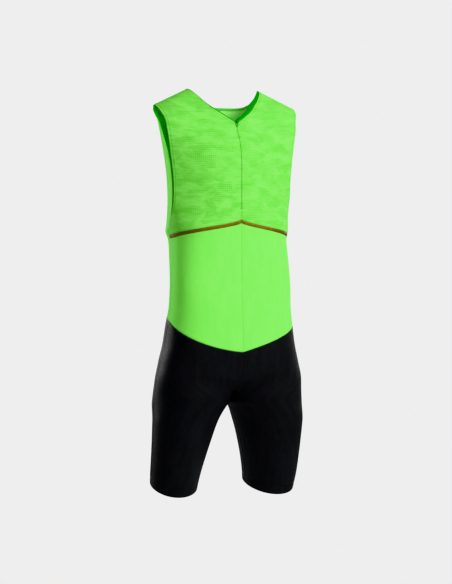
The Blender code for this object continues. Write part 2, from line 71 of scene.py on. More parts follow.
# The zip
ZIP_SLIT, ZIP_SLIT_FADE = 0.0005, 0.003  # each front edge's distance from the closed teeth
TEETH_TOP, TEETH_END, TEETH_PITCH = -0.0960, -0.2885, 0.0013
TEETH_BEHIND, TEETH_SHIFT = 0.0014, 0.0006  # behind the form, and to each side in turn
TOOTH, TOOTH_TAPER = (0.0014, 0.0006, 0.00045), 0.75  # half of its size, and its back's share
TACK_HALF, TACK_STITCHES = 0.0030, 13
BOX_FACES = ((0, 1, 3, 2), (4, 6, 7, 5), (0, 4, 5, 1), (2, 3, 7, 6), (0, 2, 6, 4), (1, 5, 7, 3))

# Cloth
THICK = 0.0009  # of the shell that shows
SEAM_PULL, SEAM_WIDTH = 0.0006, 0.0022  # how far a seam is drawn in, and over what width
RIDGE, RIDGE_AT, RIDGE_WIDTH = 0.0003, 0.0045, 0.0030  # the cloth that stands up beside it
HEM_FOLD, HEM_STEP, HEM_RISE = 0.011, 0.003, 0.0003  # a folded edge's depth, step and height
HEM_THICKER = 0.5  # how much thicker a folded edge is, as a share
EDGE_STITCH = 0.0045  # a stitch line's distance from a folded edge
HEM_STITCHES = (0.018, 0.0215)  # and those of the two lines at a leg hem
STITCH_LEAD = 4  # rows that the neck's stitches start below the V
PLAIN_LOOP, MESH_LOOP = (0.0011, 0.0009), (0.0011, 0.0011)  # a knitted loop's width and height
PORE_PITCH = 0.0048
GROOVE_WIDTH, STITCH_WIDTH = 0.0012, 0.0008  # of the groove in a seam and along a stitch line, in its bump and its painted shade

# The neck facings, and how far the painted bounce light by the armholes and the painted light by
# the neck reach inside the back
FACING_START, FACING_CLEAR = 0.0038, 0.0030  # from the centre line
FACING_PEEK = 0.0034  # how far it stands above the neck edge
FACING_TURN = (-0.58, 0.76, -0.16)  # the way the band lies, from the neck edge inward
FACING_BEHIND, FACING_ROOT = 0.0011, (0.0, 0.0013, -0.0030)  # from the neck edge
FACING_SHARES = (0.0, 0.12, 0.6, 0.9, 1.0)  # of the way up the neck edge
FACING_WIDTHS = (0.0150, 0.0190, 0.0160, 0.0060, 0.0012)
FACING_BOW = (0.03, 0.03, 0.06)
ARM_DEPTH, NECK_DEPTH, ARM_FADE = 0.110, 0.100, 0.030

# The photograph: metres to a pixel at the garment, and where its axis and neck points lie
PHOTO_WIDTH, PHOTO_HEIGHT = 452, 584
PIXEL, CAMERA_FAR, CAMERA_AZIMUTH = 0.0024, 5.25, -22.0
AXIS_COLUMN, NECK_ROW = 222, 90
SENSOR = 36.0

# The studio
FLOOR_Z, FLOOR_RADIUS = -1.60, 2.4
AMBIENT = 0.17
AIM = (0.0, -0.03, -0.45)
LIGHTS = (  # name, azimuth, height, distance, size, power
    ("key", 31.0, 1.0, 3.2, 2.0, 126.0),
    ("front_fill", -22.0, 1.7, 3.2, 1.0, 44.0),
    ("rim_left", -150.0, 0.2, 2.8, 1.4, 68.0),
    ("rim_right", 120.0, 0.3, 2.8, 1.4, 35.0),
)

FORM_NAMES = "z front_half back_half front back front_side back_side front_power back_power"
FORM = np.array([
    (0.020, 0.2250, 0.2250, -0.0500, 0.0050, -0.0480, 0.0000, 2.5, 2.6),
    (0.000, 0.2060, 0.2060, -0.0640, 0.0055, -0.0500, 0.0000, 2.5, 2.6),
    (-0.0415, 0.1790, 0.1790, -0.0747, 0.0075, -0.0560, 0.0010, 2.5, 2.6),
    (-0.056, 0.1745, 0.1800, -0.0868, 0.0100, -0.0610, -0.0140, 2.5, 2.7),
    (-0.078, 0.1670, 0.1750, -0.0926, 0.0155, -0.0630, -0.0350, 2.5, 2.8),
    (-0.100, 0.1645, 0.1690, -0.0957, 0.0240, -0.0650, -0.0375, 2.5, 3.0),
    (-0.130, 0.1598, 0.1605, -0.1130, 0.0360, -0.0660, -0.0400, 2.5, 3.2),
    (-0.160, 0.1559, 0.1535, -0.1220, 0.0450, -0.0660, -0.0425, 2.5, 3.3),
    (-0.190, 0.1523, 0.1470, -0.1240, 0.0520, -0.0675, -0.0400, 2.5, 3.3),
    (-0.222, 0.1494, 0.1425, -0.1240, 0.0560, -0.0673, -0.0370, 2.5, 3.3),
    (-0.263, 0.1484, 0.1405, -0.1240, 0.0580, -0.0651, -0.0345, 2.5, 3.2),
    (-0.300, 0.1480, 0.1420, -0.1240, 0.0580, -0.0516, -0.0305, 2.5, 3.0),
    (-0.325, 0.1488, 0.1455, -0.1240, 0.0570, -0.0372, -0.0275, 2.5, 2.7),
    (-0.342, 0.1485, 0.1485, -0.1240, 0.0550, -0.0265, -0.0265, 2.6, 2.5),
    (-0.360, 0.1440, 0.1440, -0.1240, 0.0520, -0.0300, -0.0300, 2.6, 2.4),
    (-0.400, 0.1445, 0.1445, -0.1240, 0.0430, -0.0360, -0.0360, 2.9, 2.3),
    (-0.445, 0.1465, 0.1465, -0.1250, 0.0300, -0.0440, -0.0440, 3.0, 2.3),
    (-0.480, 0.1476, 0.1476, -0.1265, 0.0270, -0.0460, -0.0460, 3.0, 2.3),
    (-0.525, 0.1490, 0.1490, -0.1300, 0.0330, -0.0440, -0.0440, 2.9, 2.4),
    (-0.560, 0.1550, 0.1550, -0.1330, 0.0420, -0.0430, -0.0430, 2.6, 2.4),
    (-0.610, 0.1621, 0.1621, -0.1355, 0.0530, -0.0415, -0.0415, 2.6, 2.4),
    (-0.650, 0.1724, 0.1724, -0.1345, 0.0580, -0.0405, -0.0405, 2.5, 2.3),
    (-0.690, 0.1802, 0.1802, -0.1310, 0.0570, -0.0395, -0.0395, 2.7, 2.2),
    (-0.730, 0.1853, 0.1853, -0.1255, 0.0560, -0.0370, -0.0370, 2.5, 2.2),
    (-0.752, 0.1868, 0.1868, -0.1215, 0.0550, -0.0350, -0.0350, 2.2, 2.2),
    (-0.800, 0.1870, 0.1870, -0.1120, 0.0500, -0.0330, -0.0330, 2.2, 2.2),
])
LEG_NAMES = "z inner outer front back"
LEG = np.array([
    (-0.700, 0.0000, 0.1815, -0.1300, 0.0570),
    (-0.743, 0.0000, 0.1861, -0.1230, 0.0552),
    (-0.756, 0.0085, 0.1865, -0.1205, 0.0545),
    (-0.774, 0.0180, 0.1866, -0.1160, 0.0535),
    (-0.800, 0.0285, 0.1865, -0.1080, 0.0525),
    (-0.840, 0.0405, 0.1855, -0.0960, 0.0535),
    (-0.880, 0.0510, 0.1845, -0.0830, 0.0570),
    (-0.920, 0.0595, 0.1830, -0.0690, 0.0630),
    (-0.960, 0.0650, 0.1785, -0.0540, 0.0710),
    (-1.000, 0.0690, 0.1745, -0.0380, 0.0800),
])
FORM = dict(zip(FORM_NAMES.split(), FORM[::-1].T))
LEG = dict(zip(LEG_NAMES.split(), LEG[::-1].T))


def smooth(share):
    share = np.clip(share, 0.0, 1.0)
    return share * share * (3.0 - 2.0 * share)


def mix(start, end, share):
    return start + (end - start) * share


def read(sections, name, z):
    """The column at each height z, by a smooth curve through its rows."""
    heights, values = sections["z"], sections[name]
    last = len(heights) - 1
    before = np.maximum(np.arange(last + 1) - 1, 0)
    after = np.minimum(np.arange(last + 1) + 1, last)
    slope = (values[after] - values[before]) / (heights[after] - heights[before])
    z = np.clip(z, heights[0], heights[-1])
    low = np.clip(np.searchsorted(heights, z, side="right") - 1, 0, last - 1)
    span = heights[low + 1] - heights[low]
    t = (z - heights[low]) / span
    curve = mix(values[low], values[low + 1], t * t * (3.0 - 2.0 * t))
    curve += slope[low] * span * t * (1.0 - t) ** 2
    return curve + slope[low + 1] * span * t * t * (t - 1.0)


def ridge_z(x):
    return -SHOULDER_DROP * (x - NECK_HALF) / (SHOULDER_HALF - NECK_HALF)


def ridge_y(x):
    share = np.clip((x - NECK_HALF) / (SHOULDER_HALF - NECK_HALF), 0.0, 1.0)
    return -SHOULDER_FORWARD * share


def edge(face, column, z):
    own = read(FORM, f"{face}_{column}", z)
    both = (read(FORM, f"front_{column}", z) + read(FORM, f"back_{column}", z)) / 2.0
    return np.where(z > UNDERARM_Z, own, both)


def apart(face):
    return -SEAM / 2.0 if face == "front" else SEAM / 2.0


def on_form(face, turn, z):
    turn, z = np.broadcast_arrays(turn, z)
    power = 2.0 / read(FORM, face + "_power", z)
    side, centre = edge(face, "side", z), read(FORM, face, z)
    angle = turn * math.pi / 2.0
    x = edge(face, "half", z) * np.maximum(np.cos(angle), 0.0) ** power
    over = np.clip((x - ROUND_FROM) / (ROUND_TO - ROUND_FROM), 0.0, 1.0)
    down = np.clip((ridge_z(x) - z) / mix(NECK_ROUND, SHOULDER_ROUND, over), 0.0, 1.0)
    bulge = np.maximum(np.sin(angle), 0.0) ** power
    if face == "front":
        flat = 1.0 - np.minimum(x / edge(face, "half", z), 1.0) ** CHEST_BOW
        bulge = mix(bulge, flat, smooth((z - UNDERARM_Z) / ARMHOLE_FADE))
    y = mix(side, centre, bulge)
    y = mix(ridge_y(x), y, np.sqrt(1.0 - (1.0 - down) ** 2))
    return np.stack([x, y + apart(face), z], -1)


def turn_at(face, x, z):
    share = np.clip(x / edge(face, "half", z), 0.0, 1.0)
    power = read(FORM, face + "_power", z) / 2.0
    return np.arccos(np.clip(share**power, 0.0, 1.0)) * 2.0 / math.pi


def chest_seam_z(turn):
    return CHEST_SEAM_PEAK_Z - CHEST_SEAM_FALL * np.maximum(1.0 - turn, 0.0) ** CHEST_SEAM_CURVE


def waist_seam_z(face, turn, side="left"):
    if face == "front":
        return WAIST_FRONT_Z + WAIST_SIDE_RISE * np.maximum(1.0 - turn, 0.0) ** WAIST_CURVE[side]
    return WAIST_FRONT_Z + WAIST_SIDE_RISE + WAIST_BACK_RISE * np.sin(turn * math.pi / 2.0)


def even(face, curve, count):
    """count + 1 (turn, z) border points, an equal length apart on the form."""
    fine = np.linspace(0.0, 1.0, 1501)
    points = on_form(face, *curve(fine))
    reach = np.concatenate([[0.0], np.cumsum(np.linalg.norm(np.diff(points, axis=0), axis=1))])
    t = np.interp(np.linspace(0.0, reach[-1], count + 1), reach, fine)
    return np.stack(curve(t), -1)


def patch(face, bottom, top, inner, outer):
    """A grid on the form between four borders of (turn, z) points."""
    v = np.linspace(0.0, 1.0, len(inner))[:, None, None]
    u = np.linspace(0.0, 1.0, len(bottom))[None, :, None]
    across = mix(bottom[None], top[None], v) + mix(inner[:, None], outer[:, None], u)
    low = mix(bottom[0][None, None], bottom[-1][None, None], u)
    high = mix(top[0][None, None], top[-1][None, None], u)
    place = across - mix(low, high, v)
    return on_form(face, place[..., 0], place[..., 1])


def neck_edge_front(t):
    x = NECK_HALF * t
    z = -FRONT_NECK_DROP * (1.0 - 0.68 * t - 0.32 * t**3.5)
    return turn_at("front", np.maximum(x, SEAM / 2.0), z), z


def neck_edge_back(t):
    z = -BACK_NECK_DROP * (1.0 - 0.83 * t**5 - 0.17 * t**20)
    return turn_at("back", NECK_HALF * t, z), z


def shoulder_seam(face, t):
    x = mix(NECK_HALF, SHOULDER_HALF, t)
    return turn_at(face, x, ridge_z(x)), ridge_z(x)


def side_edge(low, t):
    return np.zeros_like(t), mix(low, -SHOULDER_DROP, t)


def zip_edge_x(z):
    up = np.clip((z + FRONT_NECK_DROP + ZIP_MOUTH_DEPTH) / ZIP_MOUTH_DEPTH, 0.0, 1.0)
    return SEAM / 2.0 + ZIP_MOUTH * up


def yoke_grid(across=64, below=74, mouth=6, above=42):
    """The left front yoke, and its row at the bottom of the V."""
    turns = 1.0 - np.arange(across + 1) / across
    low = chest_seam_z(turns) + CHEST_TAPE / 2.0 + SEAM
    bottom = np.stack([turns, low], -1)
    top = even("front", lambda t: shoulder_seam("front", t), across)
    start = -FRONT_NECK_DROP - ZIP_MOUTH_DEPTH
    z = np.concatenate([
        np.linspace(low[0], start, below + 1)[:-1],
        np.linspace(start, -FRONT_NECK_DROP, mouth + 1)[:-1],
    ])
    inner = np.concatenate(
        [np.stack([np.ones_like(z), z], -1), even("front", neck_edge_front, above)]
    )
    rows = below + mouth + above
    outer = even("front", lambda t: side_edge(low[-1], t), rows)
    grid = patch("front", bottom, top, inner, outer)
    closed = ZIP_SLIT * smooth((grid[:, :1, 2] - TEETH_END) / ZIP_SLIT_FADE)
    shift = np.maximum(grid[:, :1, 0], zip_edge_x(grid[:, :1, 2]) + closed) - grid[:, :1, 0]
    reach = across // 4
    grid[:, :reach, 0] += shift * (1.0 - np.arange(reach) / reach)
    return grid, below + mouth


def band_grid(face, low, high, across, rows):
    turns = 1.0 - np.arange(across + 1) / across
    v = (np.arange(rows + 1) / rows)[:, None]
    grid = on_form(face, turns[None], mix(low(turns)[None], high(turns)[None], v))
    grid[..., 0] = np.maximum(grid[..., 0], SEAM / 2.0)
    return grid


def back_grid(across=64, rows=250):
    """The whole back panel, from the right side seam to the left one."""
    turns = 1.0 - np.arange(across + 1) / across
    bottom = np.stack([turns, waist_seam_z("back", turns) + SEAM / 2.0], -1)
    neck = across // 2
    top = np.concatenate([
        even("back", neck_edge_back, neck),
        even("back", lambda t: shoulder_seam("back", t), across - neck)[1:],
    ])
    z = np.linspace(bottom[0][1], -BACK_NECK_DROP, rows + 1)
    inner = np.stack([np.ones_like(z), z], -1)
    outer = even("back", lambda t: side_edge(bottom[-1][1], t), rows)
    half = patch("back", bottom, top, inner, outer)
    return np.concatenate([mirrored(half)[:, ::-1], half[:, 1:]], 1)


def hip_turn(s, share):
    sine = np.maximum(np.sin(math.pi * s), 0.0) ** 2.2
    leg_like = 1.0 - np.arcsin(np.clip(sine, 0.0, 1.0)) * 2.0 / math.pi
    return mix(np.abs(1.0 - 2.0 * s), leg_like, share)


def leg_middle(z):
    return (read(LEG, "front", z) + read(LEG, "back", z)) / 2.0


def leg_point(face, s, z):
    inner, outer = read(LEG, "inner", z), read(LEG, "outer", z)
    angle = 2.0 * math.pi * s
    depth = (read(LEG, "back", z) - read(LEG, "front", z)) / 2.0 * np.sin(angle)
    lean = THIGH_TOE_OUT * smooth((CROTCH_Z - z) / 0.05)
    x = mix(inner, outer, (1.0 - np.cos(angle)) / 2.0) + lean * depth
    x, y, z = np.broadcast_arrays(x, leg_middle(z) - depth + apart(face), z)
    return np.stack([x, y, z], -1)


def hem_z(face, s):
    side = HEM_SIDE_RISE * (1.0 - np.cos(2.0 * math.pi * s)) / 2.0
    lean = leg_point(face, s, np.full_like(s, HEM_Z))[..., 1] - leg_middle(np.array(HEM_Z))
    return HEM_Z + HEM_TILT * lean + side


def leg_grid(face, side, across=72, low_rows=LEG_ROWS, hip_rows=66):
    """One half of the left leg, from its hem up to the waist seam; column 0 is the inner line."""
    s = np.arange(across + 1) / (2.0 * across)
    if face == "back":
        s = 1.0 - s
    down = 1.0 - np.arange(low_rows)[:, None] / low_rows
    leg = leg_point(face, s[None], mix(CROTCH_Z, hem_z(face, s)[None], down))
    share = 1.0 - np.arange(hip_rows + 1)[:, None] / hip_rows
    start = waist_seam_z(face, np.abs(1.0 - 2.0 * s), side)[None] - SEAM / 2.0
    z = mix(start, CROTCH_Z, share)
    body = on_form(face, hip_turn(s[None], share), z)
    part = smooth((share - SPREAD_FROM) / (1.0 - SPREAD_FROM))[..., None]
    hip = mix(body, leg_point(face, s[None], z), part)
    grid = np.concatenate([leg, hip])
    grid[..., 0] = np.maximum(grid[..., 0], SEAM / 2.0)
    return grid


def mirrored(grid):
    return grid * np.array([-1.0, 1.0, 1.0])


def unit(vectors):
    return vectors / np.maximum(np.linalg.norm(vectors, axis=-1, keepdims=True), 1e-12)


def normals_of(grid, outward):
    """Unit normals on the outward side; outward is +1 or -1 for the grid's own winding."""
    along = np.gradient(grid, axis=1)
    up = np.gradient(grid, axis=0)
    return unit(np.cross(along, up)) * outward


def lengths(grid, axis):
    """Arc length from the first row or column."""
    steps = np.linalg.norm(np.diff(grid, axis=axis), axis=2)
    total = np.cumsum(steps, axis=axis)
    pad = [(0, 0), (0, 0)]
    pad[axis] = (1, 0)
    return np.pad(total, pad)


def dense(path, pitch=0.002):
    """The path's points, an even pitch apart."""
    reach = np.concatenate([[0.0], np.cumsum(np.linalg.norm(np.diff(path, axis=0), axis=1))])
    count = max(int(reach[-1] / pitch), 2)
    at = np.linspace(0.0, reach[-1], count)
    return np.stack([np.interp(at, reach, path[:, k]) for k in range(3)], -1)


def distance(grid, path):
    """From each grid point to the nearest point of the path."""
    flat = grid.reshape(-1, 3)
    path = dense(path)
    best = np.full(len(flat), 1e9)
    for part in np.array_split(path, max(len(path) // 40, 1)):
        gap = ((flat[:, None] - part[None]) ** 2).sum(-1).min(1)
        best = np.minimum(best, gap)
    return np.sqrt(best).reshape(grid.shape[:-1])


def nearest(grid, paths):
    """Each grid point's distance to the nearest of the paths, or 1 m where there is none."""
    if not paths:
        return np.full(grid.shape[:2], 1.0)
    return np.min([distance(grid, path) for path in paths], 0)


def bell(gap, width):
    return np.exp(-((gap / width) ** 2))


def crease(grid, start, end, width, height, bend=(0.0, 0.0, 0.0)):
    """A soft trough or ridge from start to end, fading at both ends, with raised shoulders."""
    start, end, bend = (np.array(p, float) for p in (start, end, bend))
    along = end - start
    t = np.clip(((grid - start) @ along) / (along @ along), 0.0, 1.0)
    line = start + t[..., None] * along + (4.0 * t * (1.0 - t))[..., None] * bend
    gap = np.linalg.norm(grid - line, axis=-1) / width
    return height * (1.0 - 0.6 * gap**2) * np.exp(-(gap**2)) * np.sin(math.pi * t) ** 0.7


def add_mesh(name, points, faces, material, uv=None, values=None, sharp=50.0):
    mesh = bpy.data.meshes.new(name)
    mesh.from_pydata(np.asarray(points).tolist(), [], faces)
    mesh.validate()
    mesh.shade_smooth()
    if sharp:
        mesh.set_sharp_from_angle(angle=math.radians(sharp))
    if uv is not None:
        layer = mesh.uv_layers.new(name="cloth")
        corner = np.empty(len(mesh.loops), dtype=np.int32)
        mesh.loops.foreach_get("vertex_index", corner)
        layer.data.foreach_set("uv", np.asarray(uv, dtype=np.float32)[corner].ravel())
    for key, numbers in (values or {}).items():
        layer = mesh.attributes.new(key, "FLOAT", "POINT")
        layer.data.foreach_set("value", np.asarray(numbers, dtype=np.float32).ravel())
    mesh.materials.append(material)
    item = bpy.data.objects.new(name, mesh)
    bpy.context.scene.collection.objects.link(item)
    return item


def ride(item, slot, *nodes, body=BODY):
    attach(item, body)
    if nodes:
        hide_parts(*nodes)
    return item


def shell(name, grid, outward, material, seams=(), hems=(), thick=THICK, raised=None, inside=None):
    """A cloth shell on the grid: pulled in at its seams, thicker at its hems.

    inside holds shares, by name, of colours painted on its inner face alone, as painted light
    there.
    """
    tall, wide = grid.shape[:2]
    normal = normals_of(grid, outward)
    to_seam, to_hem = nearest(grid, seams), nearest(grid, hems)
    fold = smooth((HEM_FOLD - to_hem) / HEM_STEP)
    lift = -SEAM_PULL * bell(to_seam, SEAM_WIDTH) + RIDGE * bell(to_seam - RIDGE_AT, RIDGE_WIDTH)
    lift = lift + HEM_RISE * fold
    if raised is not None:
        lift = lift + raised
    outer = grid + normal * lift[..., None]
    deep = thick * (1.0 + HEM_THICKER * fold)
    inner = outer - normal * deep[..., None]
    u, v = outward * lengths(grid, 1), grid[..., 2]
    count = tall * wide
    j, i = np.mgrid[0 : tall - 1, 0 : wide - 1]
    a = (j * wide + i).ravel()
    quads = np.stack([a, a + 1, a + wide + 1, a + wide], -1)
    rim = np.concatenate([
        np.arange(wide),
        np.arange(1, tall) * wide + wide - 1,
        (tall - 1) * wide + np.arange(wide - 2, -1, -1),
        np.arange(tall - 2, 0, -1) * wide,
    ])
    after = np.roll(rim, -1)
    walls = np.stack([after, rim, rim + count, after + count], -1)
    if outward < 0:
        quads, walls = quads[:, ::-1], walls[:, ::-1]
    faces = np.concatenate([quads, quads[:, ::-1] + count, walls]).tolist()
    points = np.concatenate([outer.reshape(-1, 3), inner.reshape(-1, 3)])
    uv = np.tile(np.stack([u, v], -1).reshape(-1, 2), (2, 1))
    values = {"to_seam": np.tile(to_seam.ravel(), 2), "to_hem": np.tile(to_hem.ravel(), 2)}
    for key, share in (inside or {}).items():
        values[key] = np.concatenate([np.zeros(count), share.ravel()])
    item = add_mesh(name, points, faces, material, uv, values)
    return item, outer, normal


def stitches(name, lines, material, pitch=0.0028, length=0.0020, width=0.0006, lift=0.00025):
    """Small rounded thread stitches along (path, normals) lines, as one mesh."""
    points, faces = [], []
    for path, normal in lines:
        steps = np.linalg.norm(np.diff(path, axis=0), axis=1)
        reach = np.concatenate([[0.0], np.cumsum(steps)])
        at = np.arange(pitch, reach[-1] - pitch / 2.0, pitch)
        if not len(at):
            continue

        def pick(values, where):
            return np.stack([np.interp(where, reach, values[:, k]) for k in range(3)], -1)

        middle, up = pick(path, at), unit(pick(normal, at))
        ahead = unit(pick(path, at + 0.0005) - pick(path, at - 0.0005))
        side = np.cross(up, ahead)
        for c, n, t, s in zip(middle, up, ahead, side):
            base = len(points)
            half, w = length / 2.0, width / 2.0
            ring = [
                c - t * half - n * 0.0001,
                c - t * half * 0.5 + s * w,
                c + t * half * 0.5 + s * w,
                c + t * half - n * 0.0001,
                c + t * half * 0.5 - s * w,
                c - t * half * 0.5 - s * w,
                c - t * half * 0.45 + n * lift,
                c + t * half * 0.45 + n * lift,
            ]
            points += ring
            faces += [
                tuple(base + k for k in f)
                for f in ((0, 6, 1), (1, 6, 7, 2), (2, 7, 3), (3, 7, 4), (4, 7, 6, 5), (5, 6, 0))
            ]
    return add_mesh(name, points, faces, material, sharp=None)


def inset(outer, normal, field, gap, axis):
    """The line on a panel where a distance field equals gap, one point a column or row."""
    if axis == 1:
        outer, normal, field = (np.swapaxes(a, 0, 1) for a in (outer, normal, field))
    path, ups = [], []
    for k in range(field.shape[1]):
        column = field[:, k]
        hits = np.nonzero((column[:-1] - gap) * (column[1:] - gap) <= 0.0)[0]
        if not len(hits):
            continue
        j = hits[-1] if column[-1] < column[0] else hits[0]
        span = column[j + 1] - column[j]
        t = 0.0 if abs(span) < 1e-12 else (gap - column[j]) / span
        path.append(mix(outer[j, k], outer[j + 1, k], t))
        ups.append(mix(normal[j, k], normal[j + 1, k], t))
    return np.array(path), np.array(ups)


# Materials

SEAM_PAINTED_SHADE = (0.0, 0.06, 0.0)  # painted shade in a green panel's seams and along its stitch lines
# Painted shade in the black panels' seams and along their hem stitch lines.
BLACK_SEAM_PAINTED_SHADE = (0.0015, 0.0015, 0.0018)


def wire(tree, kind, settings=None, **inputs):
    """A node with its inputs set, each to a number or to another node's output socket."""
    made = tree.nodes.new(kind)
    for key, value in (settings or {}).items():
        setattr(made, key, value)
    for key, value in inputs.items():
        numbered = key[0] == "i" and key[1:].isdigit()
        socket = made.inputs[int(key[1:]) if numbered else key]
        if isinstance(value, bpy.types.NodeSocket):
            tree.links.new(value, socket)
        else:
            socket.default_value = value
    return made


def maths(tree, operation, *values):
    inputs = {f"i{k}": value for k, value in enumerate(values)}
    return wire(tree, "ShaderNodeMath", {"operation": operation}, **inputs).outputs[0]


def blend_colour(tree, share, low, high):
    made = wire(tree, "ShaderNodeMix", {"data_type": "RGBA"})
    for socket, value in ((made.inputs[0], share), (made.inputs[6], low), (made.inputs[7], high)):
        if isinstance(value, bpy.types.NodeSocket):
            tree.links.new(value, socket)
        elif isinstance(value, tuple):
            socket.default_value = (*value, 1.0)
        else:
            socket.default_value = value
    return made.outputs[2]


def start_material(name, roughness, metallic=0.0, sheen=0.0, specular=0.5):
    made = bpy.data.materials.new(name)
    made.use_nodes = True
    tree = made.node_tree
    shader = tree.nodes["Principled BSDF"]
    shader.inputs["Roughness"].default_value = roughness
    shader.inputs["Metallic"].default_value = metallic
    shader.inputs["Specular IOR Level"].default_value = specular
    shader.inputs["Sheen Weight"].default_value = sheen
    shader.inputs["Sheen Roughness"].default_value = 0.45
    return made, tree, shader


def cloth_space(tree):
    """The cloth's own across and up lengths, in metres, and the sockets of both."""
    uv = wire(tree, "ShaderNodeUVMap", {"uv_map": "cloth"}).outputs[0]
    split = wire(tree, "ShaderNodeSeparateXYZ", i0=uv)
    return uv, split.outputs[0], split.outputs[1]


def stretched(tree, uv, across, up):
    return wire(
        tree, "ShaderNodeMapping", {"vector_type": "POINT"}, Vector=uv, Scale=(across, up, 1.0)
    ).outputs[0]


def noise(tree, vector, scale, detail=3.0, roughness=0.5, distortion=0.0):
    made = wire(
        tree, "ShaderNodeTexNoise", {"noise_dimensions": "3D"},
        Vector=vector, Scale=scale, Detail=detail, Roughness=roughness, Distortion=distortion,
    )
    return made.outputs[0]


def ramp(tree, value, low, high):
    """0 below low and 1 above high, with a soft step between."""
    made = wire(
        tree, "ShaderNodeMapRange", {"interpolation_type": "SMOOTHSTEP"},
        **{"Value": value, "From Min": low, "From Max": high},
    )
    return made.outputs[0]


def knit_height(tree, across, up, wale, course):
    """Rows of knitted V loops: wale is a loop's width and course its height, in metres."""
    column = maths(tree, "PINGPONG", across, wale / 2.0)
    slope = maths(tree, "MULTIPLY", column, 2.0 * math.pi / wale)
    row = maths(tree, "MULTIPLY", up, 2.0 * math.pi / course)
    wave = maths(tree, "SINE", maths(tree, "ADD", row, slope))
    rib = maths(tree, "COSINE", maths(tree, "MULTIPLY", across, 2.0 * math.pi / wale))
    return maths(tree, "MULTIPLY_ADD", rib, 0.5, maths(tree, "MULTIPLY", wave, 0.5))


def edge_value(tree, key, gap, width):
    """1 on the line that lies gap from a seam or hem, fading over width."""
    away = wire(tree, "ShaderNodeAttribute", {"attribute_name": key}).outputs["Fac"]
    off = maths(tree, "DIVIDE", maths(tree, "SUBTRACT", away, gap), width)
    squared = maths(tree, "MULTIPLY", off, off)
    return maths(tree, "POWER", 2.7183, maths(tree, "MULTIPLY", squared, -1.0))


def finish_cloth(tree, shader, colour, height, strength, hem_lines=(), groove_painted_shade=SEAM_PAINTED_SHADE):
    """Adds the grooves at the seams and stitch lines, as bump and painted shade, with the fine
    bump, and wires the colour.
    """
    groove = edge_value(tree, "to_seam", 0.0, GROOVE_WIDTH)
    for gap in hem_lines:
        groove = maths(tree, "MAXIMUM", groove, edge_value(tree, "to_hem", gap, STITCH_WIDTH))
    # Painted shade: the colour darkens in the seam grooves and along the stitch lines.
    shade = blend_colour(tree, maths(tree, "MULTIPLY", groove, 0.25), colour, groove_painted_shade)
    tree.links.new(shade, shader.inputs["Base Color"])
    fine = wire(tree, "ShaderNodeBump", Height=height, Strength=strength, Distance=0.0003)
    coarse = wire(
        tree, "ShaderNodeBump", {"invert": True},
        Height=groove, Strength=0.6, Distance=0.0009, Normal=fine.outputs[0],
    )
    tree.links.new(coarse.outputs[0], shader.inputs["Normal"])


def plain_knit(name, dark, light, roughness=0.62, specular=0.02, hems=(), groove=SEAM_PAINTED_SHADE, inside=()):
    made, tree, shader = start_material(name, roughness, specular=specular)
    uv, across, up = cloth_space(tree)
    cloud = noise(tree, stretched(tree, uv, 60.0, 14.0), 1.0, 4.0, 0.6)
    streak = noise(tree, stretched(tree, uv, 900.0, 60.0), 1.0, 2.0)
    share = maths(tree, "MULTIPLY_ADD", streak, 0.4, maths(tree, "MULTIPLY", cloud, 0.6))
    colour = blend_colour(tree, ramp(tree, share, 0.35, 0.65), dark, light)
    # Colours painted on the inner face alone, by attribute, as painted light there.
    for key, shade in inside:
        turned = wire(tree, "ShaderNodeAttribute", {"attribute_name": key}).outputs["Fac"]
        colour = blend_colour(tree, turned, colour, shade)
    loops = knit_height(tree, across, up, *PLAIN_LOOP)
    finish_cloth(tree, shader, colour, loops, 0.30, hems, groove)
    return made


def mesh_knit(name, hems=()):
    """Tonal blotches in level streaks, over a grid of fine pores."""
    made, tree, shader = start_material(name, 0.66, specular=0.02)
    uv, across, up = cloth_space(tree)
    blotch = noise(tree, stretched(tree, uv, 24.0, 52.0), 1.0, 4.0, 0.60, 0.5)
    streak = noise(tree, stretched(tree, uv, 60.0, 560.0), 1.0, 2.0, 0.5)
    tone = maths(tree, "MULTIPLY_ADD", streak, 0.30, maths(tree, "MULTIPLY", blotch, 0.70))
    pale = ramp(tree, tone, 0.37, 0.62)
    colour = blend_colour(tree, pale, MESH_DARK, MESH_LIGHT)
    half = PORE_PITCH / 2.0
    dots = maths(
        tree, "MULTIPLY",
        maths(tree, "PINGPONG", across, half),
        maths(tree, "PINGPONG", up, half),
    )
    pore = ramp(tree, dots, half**2 * 0.12, half**2 * 0.50)
    quiet = maths(tree, "SUBTRACT", 1.0, maths(tree, "MULTIPLY", pale, 0.80))
    depth = maths(tree, "MULTIPLY", pore, quiet)
    colour = blend_colour(tree, maths(tree, "MULTIPLY", depth, 0.44), colour, MESH_PORE)
    loops = knit_height(tree, across, up, *MESH_LOOP)
    height = maths(tree, "SUBTRACT", loops, maths(tree, "MULTIPLY", depth, 2.0))
    finish_cloth(tree, shader, colour, height, 0.35, hems)
    return made


def foil_tape(name):
    made, tree, shader = start_material(name, 0.42, metallic=0.55, specular=0.3)
    uv, across, up = cloth_space(tree)
    wear = noise(tree, stretched(tree, uv, 90.0, 300.0), 1.0, 4.0, 0.6)
    colour = blend_colour(tree, ramp(tree, wear, 0.35, 0.7), FOIL_DARK, FOIL_LIGHT)
    rough = maths(tree, "MULTIPLY_ADD", wear, 0.25, 0.36)
    tree.links.new(rough, shader.inputs["Roughness"])
    finish_cloth(tree, shader, colour, knit_height(tree, across, up, *PLAIN_LOOP), 0.18)
    return made


